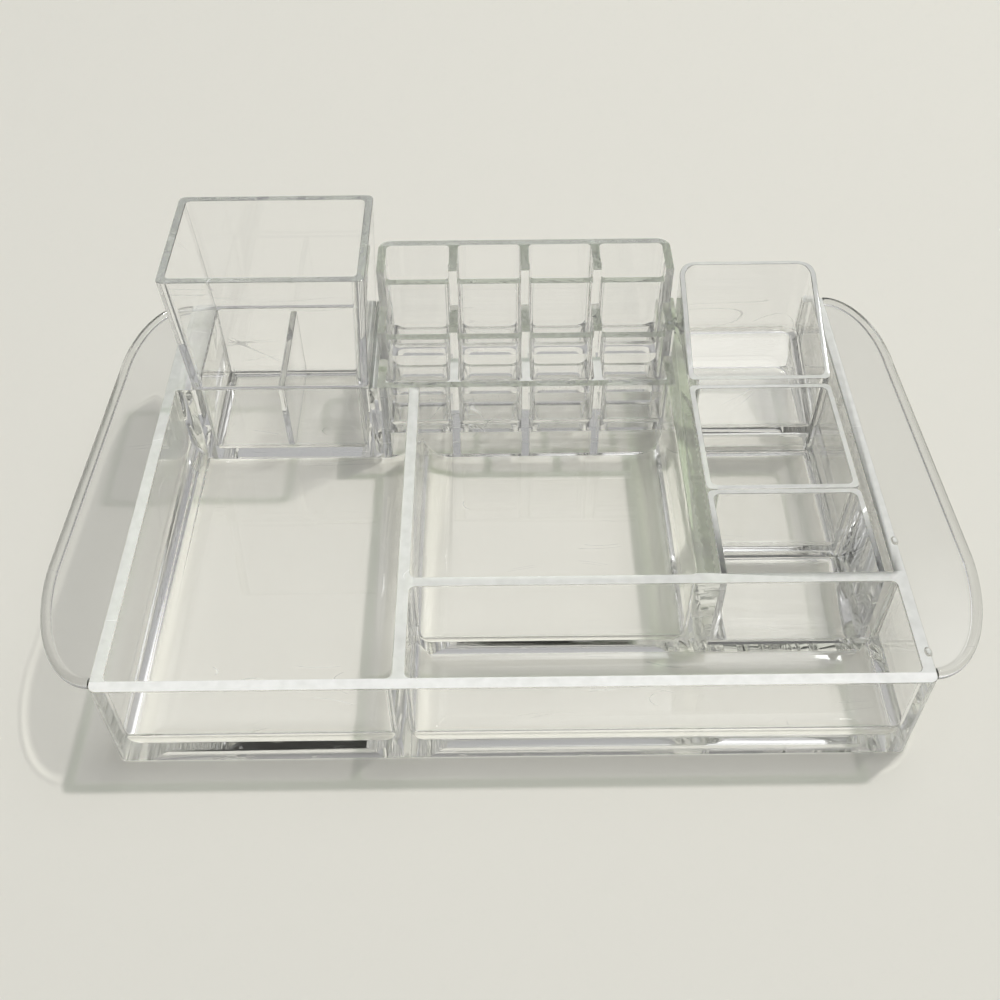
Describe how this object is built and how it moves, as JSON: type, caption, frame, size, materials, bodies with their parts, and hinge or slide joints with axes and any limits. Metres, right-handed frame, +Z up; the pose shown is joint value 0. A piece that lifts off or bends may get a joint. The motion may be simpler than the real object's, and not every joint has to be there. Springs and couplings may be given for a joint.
{
  "type": "vanity organizer",
  "caption": "Clear plastic vanity organizer: a low tray with partitions and two flared handles, holding a tall brush cup, a stepped lipstick rack, bins and open compartments.",
  "frame": {"origin": "middle of the tray's underside, on the surface that it stands on", "axes": "+X to the right along the tray's length, +Y to the back where the tall cup and the rack stand, +Z up"},
  "size_m": [0.3792, 0.231, 0.113],
  "materials": {
    "clear_plastic": "polished, clear and colourless"
  },
  "bodies": {
    "root": {"base_tray": "clear_plastic", "left_handle": "clear_plastic", "right_handle": "clear_plastic", "brush_cup_cell": "clear_plastic", "brush_cup_sleeve": "clear_plastic", "brush_cup_rib": "clear_plastic", "back_lipstick_row": "clear_plastic", "middle_lipstick_row": "clear_plastic", "front_lipstick_row": "clear_plastic", "back_bin": "clear_plastic", "middle_bin": "clear_plastic", "front_bin": "clear_plastic"}
  },
  "joints": []
}
